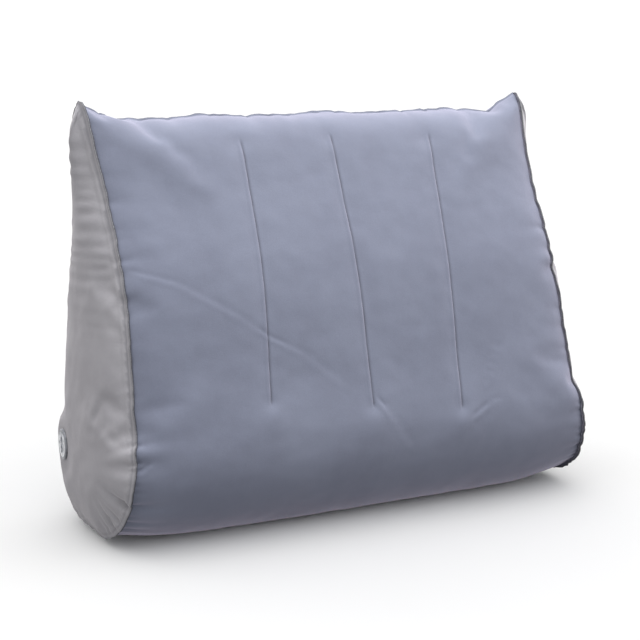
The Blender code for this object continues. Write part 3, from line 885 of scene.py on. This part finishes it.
def bumped(tree, shader, *bumps):
    """Bumps one on the other: strength, distance and height of each."""
    under = []
    for strength, distance, height in bumps:
        bump = joined(tree, "ShaderNodeBump", [("Strength", strength), ("Distance", distance),
                                               ("Height", height)] + under)
        under = [("Normal", bump.outputs[0])]
    tree.links.new(bump.outputs[0], shader.inputs["Normal"])


def set_to(tree, shader, **values):
    """Sockets of the shader by name, with _ for a space."""
    for name, value in values.items():
        socket = shader.inputs[name.replace("_", " ")]
        if isinstance(value, bpy.types.NodeSocket):
            tree.links.new(value, socket)
        else:
            socket.default_value = value


# %% Flock
def flock(name, light, dark, tint, sheen):
    material, tree, shader, place = finish(name)
    strokes = noise_of(tree, place, 16, 3, 0.55, (1.0, 1.0, 0.6))
    patches = noise_of(tree, place, 90, 4, 0.6)
    fibres = noise_of(tree, place, 1500, 2, 0.6)
    lay = mix(tree, 0.4, strokes, patches)
    colour = mix(tree, ramp(tree, lay, 0.38, 0.62), dark, light)
    speck = mix(tree, ramp(tree, fibres, 0.3, 0.7), (0.90, 0.90, 0.91, 1),
                (1.06, 1.06, 1.05, 1))
    colour = mix(tree, 1.0, colour, speck, "MULTIPLY")
    # painted darker along the weld lines and fins: melted flock, and painted shade in the weld
    # grooves
    melt_and_shade = joined(tree, "ShaderNodeAttribute", attribute_name="melt_and_shade").outputs["Fac"]
    colour = mix(tree, ramp(tree, melt_and_shade, 0.0, 1.0, 0.0, 0.92), colour,
                 (0.030, 0.031, 0.039, 1))
    set_to(tree, shader, Base_Color=colour, Roughness=ramp(tree, patches, 0.3, 0.7, 0.86, 1.0),
           Specular_IOR_Level=0.15, Sheen_Weight=sheen, Sheen_Roughness=0.45, Sheen_Tint=tint)
    bumped(tree, shader, (0.35, 0.0004, fibres), (0.25, 0.0020, lay))
    return material


blue_flock = flock("blue_grey_flock", (0.073, 0.080, 0.106, 1), (0.065, 0.071, 0.095, 1),
                   (0.90, 0.82, 1.0, 1), 0.30)
grey_flock = flock("warm_grey_flock", (0.150, 0.147, 0.157, 1), (0.134, 0.131, 0.141, 1),
                   (1.0, 0.95, 0.98, 1), 0.20)
print("made", blue_flock.name, "and", grey_flock.name)


# %% Raw cut edge
def cut_edge(name, dark, light):
    """The core of the sheet where the knife went through: dark film between two coats."""
    material, tree, shader, place = finish(name)
    frayed = noise_of(tree, place, 600, 3, 0.7)
    set_to(tree, shader, Base_Color=mix(tree, ramp(tree, frayed, 0.35, 0.75), dark, light),
           Roughness=0.8, Specular_IOR_Level=0.2)
    bumped(tree, shader, (0.4, 0.0005, frayed))
    return material


raw_edge = cut_edge("blue_cut_edge", (0.010, 0.010, 0.014, 1), (0.045, 0.047, 0.06, 1))
grey_edge = cut_edge("grey_cut_edge", (0.045, 0.045, 0.048, 1), (0.11, 0.11, 0.115, 1))

# %% Front and back panels
fine_near_lines = [m for line in WELD_LINES
                   for m in (min(line[0], line[2]) - 0.005, max(line[0], line[2]) + 0.005)]
column_marks = [-MEAN_HALF, -MEAN_HALF + 0.024] + fine_near_lines + [MEAN_HALF - 0.024, MEAN_HALF]
column_steps = [0.002] + [0.0052, 0.0012] * 3 + [0.0052, 0.002]
front_shares = spread(column_marks, column_steps) / MEAN_HALF
front_rows = spread([0, 0.45, LOW_SEAM - 0.012, LOW_SEAM], [0.0021, 0.0045, 0.002])
back_columns = [0.003] + [0.0070, 0.0016] * 3 + [0.0070, 0.003]
back_shares = spread(column_marks, back_columns) / MEAN_HALF
back_rows = spread([LOW_SEAM, LOW_SEAM + 0.012, GIRTH - 0.02, GIRTH], [0.002, 0.004, 0.002])
front_sheet, *front_edges = long_panel("front_sheet", front_part, 0, front_rows, front_shares,
                                       CREASES, blue_flock, raw_edge)
back_sheet, *back_edges = long_panel("back_sheet", back_part, front_lines, back_rows, back_shares,
                                     (), blue_flock, raw_edge)

# %% [markdown]
# ## End panels
#
# The drop has no rows, so its fine mesh is cut with the triangulator too, and takes its edge
# points from the sides of the front and back sheets, which makes the seam exact. Inside, a thin
# plate spline through the solver's points gives smooth places. It is the shape that a thin metal
# plate takes when it is bent to pass through them.


# %% Thin plate spline
def kernel(a, b):
    square = ((a[:, None] - b[None]) ** 2).sum(-1)
    return 0.5 * square * np.log(square + 1e-12)


def plate(flat, values, smooth=2e-4):
    """A smooth function of a flat place that passes near the values at the given flat places."""
    flat = flat / 0.05
    count = len(flat)
    ones = np.hstack([np.ones((count, 1)), flat])
    system = np.zeros((count + 3, count + 3))
    system[:count, :count] = kernel(flat, flat) + smooth * np.eye(count)
    system[:count, count:] = ones
    system[count:, :count] = ones.T
    weights = np.linalg.solve(system, np.vstack([values, np.zeros((3, values.shape[1]))]))

    def there(where):
        where = where / 0.05
        return kernel(where, flat) @ weights[:count] + np.hstack(
            [np.ones((len(where), 1)), where]) @ weights[count:]
    return there


# %% Build an end panel
END_CELL = 0.0030
HOLE_REACH, HOLE_FADE = 0.040, 0.022      # the sheet is drawn to the valve's axis inside this reach
LOW_FRONT = 0.44                          # way along the loop to the deepest valleys
LONGER = 1.8                              # valleys reach further into an end panel by this
BRIDGE_TOP, BRIDGE_DEPTH = 0.26, 0.011    # above and further in than this the top is bridged
seam_places = np.concatenate([front_rows, back_rows[1:-1]])
fine_ring = at(seam_places)
fine_flat, fine_triangles, fine_index = cut_drop(fine_ring, END_CELL, FINE_HOLE)
fine_index = np.array(fine_index)
fine_depth, fine_nearest, fine_share = to_ring(fine_flat, fine_ring)
following = np.append(seam_places, GIRTH)
fine_place = following[fine_nearest] * (1 - fine_share) + following[fine_nearest + 1] * fine_share
cut_flat = layer(bag_mesh, "cut", "vector", 3, np.float32).reshape(-1, 3)
panel_faces = layer(bag_mesh, "panel")
print("fine end panel", len(fine_flat), "points")


def end_panel(name, side, *materials):
    number = 1 if side < 0 else 2
    own = sorted({v for face, p in zip(bag_mesh.polygons, panel_faces) if p == number
                  for v in face.vertices})
    # the narrow top is bridged from points beside its seams, so it has no ridge
    flat_places = cut_flat[own, 1:]
    bridged = (flat_places[:, 1] > BRIDGE_TOP) & (to_ring(flat_places, ring)[0] > BRIDGE_DEPTH)
    shape = plate(flat_places[~bridged], fitted[own][~bridged])
    edge = 0 if side < 0 else 1
    seam = np.vstack([front_edges[edge], back_edges[edge][1:-1]])
    spot = shape(fine_flat)
    gap = seam - shape(fine_ring)
    spot += (gap[fine_nearest] * (1 - fine_share)[:, None]
             + np.roll(gap, -1, axis=0)[fine_nearest] * fine_share[:, None]
             ) * np.exp(-fine_depth / 0.010)[:, None]
    outer = np.array([float(side), 0.0, 0.0])
    # the hole comes to lie evenly round the valve's collar, and the sheet beside it follows
    if side < 0:
        from_hole = fine_flat - valve_spot
        drawn = np.clip((HOLE_REACH - np.linalg.norm(from_hole, axis=1)) / HOLE_FADE, 0, 1)
        across = np.array([valve_out[1], -valve_out[0], 0.0])
        step = valve_face + from_hole[:, :1] * across - spot
        step[:, 2] += from_hole[:, 1]
        step -= (step @ valve_out)[:, None] * valve_out
        spot += step * eased(drawn[:, None])
    away = np.clip((np.linalg.norm(fine_flat - valve_spot, axis=1) - 0.020) / 0.015, 0, 1)
    away = away if side < 0 else np.ones_like(away)
    low_front = bell(fine_place - LOW_FRONT, 0.07)
    pull = side_pull(side, fine_place, fine_depth, LONGER) * away * (1 + 1.2 * low_front)
    # the valleys from both seams end before they meet in the narrow top
    half_width = np.clip(0.30 * (0.436 - fine_flat[:, 1]), 0.003, 0.055)
    pull = pull * np.clip(1 - fine_depth / half_width, 0, 1)
    both = np.exp(-fine_depth / SEAM_BLEND)[:, None]
    spot -= pull[:, None] * ((1 - both) * outer)
    calm = np.clip(fine_depth / SEAM_CALM, 0, 1) * away
    z = spot[:, 2]
    gathers = (np.sin(z * 480 + 1.6 * np.sin(z * 90) + 30 * spot[:, 1])
               * np.clip((z - 0.20) / 0.12, 0, 1)
               * np.clip(0.7 + 1.3 * rolling(spot, 0.030, 21), 0, 1.4))
    uneven = (0.0010 * rolling(spot, 0.040, 11) + 0.0004 * rolling(spot, 0.015, 7)
              + 0.00055 * gathers)
    beside_weld = 0.0010 * bell(fine_depth - 0.0040, 0.0022)
    spot += outer * (calm * uneven + beside_weld)[:, None]
    on_ring = fine_index >= 0
    spot[on_ring] = seam[fine_index[on_ring]]
    direction, width = side_fin(side, seam_places)
    rows = fin_points(seam, direction, width, outer)

    bm = bmesh.new()
    ring_mark = bm.verts.layers.int.new("ring")
    melt_and_shade = bm.verts.layers.float.new("melt_and_shade")
    made = [bm.verts.new(p) for p in spot]
    # the seam line and the fin rows are painted darker, the fin most at its cut edge
    for vert, k in zip(made, fine_index):
        vert[ring_mark] = k + 1
        vert[melt_and_shade] = 0.35 if k >= 0 else 0.0
    for triangle in fine_triangles:
        bm.faces.new([made[i] for i in triangle])
    middles = fine_flat[np.array(fine_triangles)].mean(axis=1)
    in_hole = (side < 0) & (np.linalg.norm(middles - valve_spot, axis=1) < VALVE_HOLE)
    bm.faces.ensure_lookup_table()
    bmesh.ops.delete(bm, geom=[bm.faces[i] for i in np.flatnonzero(in_hole)], context="FACES")
    bm.normal_update()
    if sum(f.normal.x * f.calc_area() for f in bm.faces) * side < 0:
        bmesh.ops.reverse_faces(bm, faces=bm.faces)
    rim = [e for e in bm.edges if e.is_boundary and all(v[ring_mark] > 0 for v in e.verts)]
    for points, flat in zip(rows, FIN_DARKENING):
        grown = bmesh.ops.extrude_edge_only(bm, edges=rim)["geom"]
        for vert in (g for g in grown if isinstance(g, bmesh.types.BMVert)):
            vert.co = points[vert[ring_mark] - 1]
            vert[melt_and_shade] = 0.6 * flat
        rim = [g for g in grown if isinstance(g, bmesh.types.BMEdge)]
    bmesh.ops.delete(bm, geom=[v for v in bm.verts if not v.link_faces], context="VERTS")
    piece = new_piece(name, bm, *materials)
    thicken(piece)
    print(name, len(piece.data.polygons), "faces")
    return piece


left_end = end_panel("left_end_sheet", -1, grey_flock, grey_edge)
right_end = end_panel("right_end_sheet", 1, grey_flock, grey_edge)

# %% [markdown]
# ## Inner webs
#
# The webs can't be seen from outside, but they are what makes the weld lines, so they are there:
# a thin clear-grey film from the front sheet to the back sheet, with a flange folded along each.


# %% Webs
WEB_SHEET, WEB_FLANGE, WEB_INSET = 0.0006, 0.008, 0.0024


def web_film():
    material, tree, shader, place = finish("web_film")
    cloudy = noise_of(tree, place, 40, 3)
    set_to(tree, shader, Roughness=ramp(tree, cloudy, 0.3, 0.7, 0.30, 0.45),
           Base_Color=mix(tree, cloudy, (0.36, 0.37, 0.40, 1), (0.46, 0.47, 0.50, 1)))
    return material


film = web_film()


def web(name, line):
    heights = np.linspace(line[3], line[1] - 0.006, 36)
    x = -from_line(line, 0.0, heights)
    front_ways = np.linspace(0.0, 0.42, 400)
    back_ways = np.linspace(LOW_SEAM + 0.02, GIRTH, 400)
    front_place = np.interp(heights, at(front_ways)[::-1, 1], front_ways[::-1])
    back_place = np.interp(heights, at(back_ways)[:, 1], back_ways)
    shares = x / MEAN_HALF
    front_edge = panel_points(front_part, 0, front_place, shares, CREASES)
    back_edge = panel_points(back_part, front_lines, back_place, shares, ())
    inward = np.array([0.0, WEB_INSET, 0.0])
    front_edge, back_edge = front_edge + inward, back_edge - inward
    bm = bmesh.new()
    across_steps = 12
    verts = bmesh.ops.create_grid(bm, x_segments=across_steps, y_segments=len(heights) - 1,
                                  size=0.5)["verts"]
    for vert in verts:
        i, t = round((vert.co.y + 0.5) * (len(heights) - 1)), vert.co.x + 0.5
        vert.co = front_edge[i] * (1 - t) + back_edge[i] * t
    for edge in (front_edge, back_edge):
        rim = [e for e in bm.edges if e.is_boundary
               and all(min(np.linalg.norm(edge - np.array(v.co), axis=1)) < 0.003 for v in e.verts)
               and abs(e.verts[0].co.z - e.verts[1].co.z) > 1e-4]
        grown = bmesh.ops.extrude_edge_only(bm, edges=rim)["geom"]
        for vert in (g for g in grown if isinstance(g, bmesh.types.BMVert)):
            vert.co.x += WEB_FLANGE
    piece = new_piece(name, bm, film)
    thicken(piece, WEB_SHEET)
    return piece


webs = [web(name, line) for name, line in
        zip(("left_web_film", "centre_web_film", "right_web_film"), WELD_LINES)]
print("webs of", [len(w.data.polygons) for w in webs], "faces")

# %% [markdown]
# ## Valve finishes
#
# The valve's pieces come from the frame with their right shapes. They only need their materials:
# soft dark grey PVC for the welded base, a harder pale grey plastic for the screw-in body, black
# rubber for the seal, cloudy silicone for the flap, and cloudy plastic for the cap.


# %% Moulded finishes
def moulded(name, light, dark, roughness, grain, clear=0.0):
    material, tree, shader, place = finish(name)
    cloudy = noise_of(tree, place, 260, 2)
    fine = noise_of(tree, place, 2600, 2)
    set_to(tree, shader, Base_Color=mix(tree, ramp(tree, cloudy, 0.38, 0.62), dark, light),
           Roughness=ramp(tree, cloudy, 0.3, 0.7, roughness, roughness + 0.12),
           Subsurface_Weight=clear, Subsurface_Radius=(0.003, 0.003, 0.003),
           Subsurface_Scale=1.0)
    bumped(tree, shader, (grain, 0.0002, fine))
    return material


CLOUDY = (0.42, 0.43, 0.45, 1), (0.11, 0.115, 0.13, 1)
soft_pvc = moulded("soft_grey_pvc", (0.13, 0.135, 0.15, 1), (0.09, 0.094, 0.105, 1),
                   0.30, 0.15, 0.2)
hard_plastic = moulded("hard_grey_plastic", (0.50, 0.51, 0.53, 1), (0.43, 0.44, 0.46, 1),
                       0.28, 0.1)
seal_rubber = moulded("seal_rubber", (0.030, 0.030, 0.032, 1), (0.018, 0.018, 0.02, 1), 0.5, 0.25)
cloudy_silicone = moulded("cloudy_silicone", *CLOUDY, 0.30, 0.3, 0.15)
cap_plastic = moulded("cloudy_cap_plastic", *CLOUDY, 0.26, 0.3, 0.15)
for node, material in (("valve_base", soft_pvc), ("valve_insert", hard_plastic),
                       ("insert_gasket", seal_rubber), ("check_flap", cloudy_silicone),
                       ("valve_cap", cap_plastic)):
    for slot in frame["nodes"][node].material_slots:
        slot.material = material
    print(node, "is", material.name)

# %% [markdown]
# ## Putting the pieces on the frame
#
# Every sheet rides on the pillow's body and stands for a frame node, which is hidden. The bag that
# was blown up has done its work and goes.

# %% Ride and replace
bpy.data.objects.remove(bag, do_unlink=True)
FILL = 0.85     # blown up tight
for piece, node, slot, pad in ((front_sheet, "front_panel", "blue_flock", FILL),
                               (back_sheet, "back_panel", "blue_flock", FILL),
                               (left_end, "left_gusset", "grey_flock", FILL),
                               (right_end, "right_gusset", "grey_flock", FILL),
                               (webs[0], "left_web", "inner_film", None),
                               (webs[1], "centre_web", "inner_film", None),
                               (webs[2], "right_web", "inner_film", None)):
    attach(piece, "pillow")
    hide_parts(node)
print("riding:", [p.name for p in (front_sheet, back_sheet, left_end, right_end)])

# %% [markdown]
# ## Studio
#
# A pale floor and a bright soft world give even light. One large lamp overhead makes the top of
# the sloped front lighter than its round lower edge. A fill from the side opens up the end panel,
# and a low one the underside. Light that falls on a white floor bounces up and would flatten all
# that, so the lamps are linked to the pillow alone and the world lights the floor.

# %% Floor and light
bm = bmesh.new()
bmesh.ops.create_grid(bm, x_segments=8, y_segments=8, size=15)
floor_paint, tree, shader, place = finish("pale_floor")
set_to(tree, shader, Roughness=0.9, Specular_IOR_Level=0.1,
       Base_Color=mix(tree, noise_of(tree, place, 3, 2), (0.90, 0.90, 0.90, 1),
                      (0.92, 0.92, 0.92, 1)))
floor = new_piece("floor", bm, floor_paint)

world = bpy.data.worlds.new("studio")
bpy.context.scene.world = world
world.use_nodes = True
world.node_tree.nodes["Background"].inputs["Color"].default_value = (1.0, 1.0, 1.0, 1)
world.node_tree.nodes["Background"].inputs["Strength"].default_value = 1.2


lit = bpy.data.collections.new("lit_by_lamps")     # everything but the floor
for item in bpy.context.scene.objects:
    if item.type == "MESH" and item is not floor:
        lit.objects.link(item)


def lamp(name, size, power, position, target):
    light = bpy.data.lights.new(name, "AREA")
    light.shape, light.size, light.energy = "SQUARE", size, power
    holder = bpy.data.objects.new(name, light)
    bpy.context.scene.collection.objects.link(holder)
    holder.location = position
    holder.light_linking.receiver_collection = lit
    holder.rotation_euler = (Vector(position) - Vector(target)).to_track_quat("Z", "Y").to_euler()
    return holder


lamp("overhead", 2.0, 240, (0.3, -0.2, 2.4), (0, 0, 0.2))
lamp("side_fill", 1.2, 22, (-2.3, -0.7, 1.0), (0, 0, 0.2))
lamp("low_fill", 1.0, 30, (0.4, -2.2, 0.12), (0, 0, 0.05))

# %% Camera
AZIMUTH, ELEVATION, DISTANCE = math.radians(-28.05), math.radians(10.35), 1.673
back_way = Vector((math.sin(AZIMUTH) * math.cos(ELEVATION),
                   -math.cos(AZIMUTH) * math.cos(ELEVATION), math.sin(ELEVATION)))
right_way = Vector((math.cos(AZIMUTH), math.sin(AZIMUTH), 0))
up_way = back_way.cross(right_way)
camera_data = bpy.data.cameras.new("camera")
camera_data.lens, camera_data.sensor_width = 88.1, 36
camera = bpy.data.objects.new("camera", camera_data)
bpy.context.scene.collection.objects.link(camera)
spot = back_way * DISTANCE + Vector((0, 0, 0.2)) - right_way * 0.012 - up_way * 0.001
camera.matrix_world = Matrix.Translation(spot) @ Matrix(
    (right_way, up_way, back_way)).transposed().to_4x4()
bpy.context.scene.camera = camera
bpy.context.scene.view_settings.view_transform = "Standard"
print("camera at", [round(v, 3) for v in spot])

# %% [markdown]
# ## Last step
#
# The view layer is brought up to date. The shown model must not be bigger than the frame,
# apart from a little that fabric may stand proud.

# %% Update the scene
bpy.context.view_layer.update()
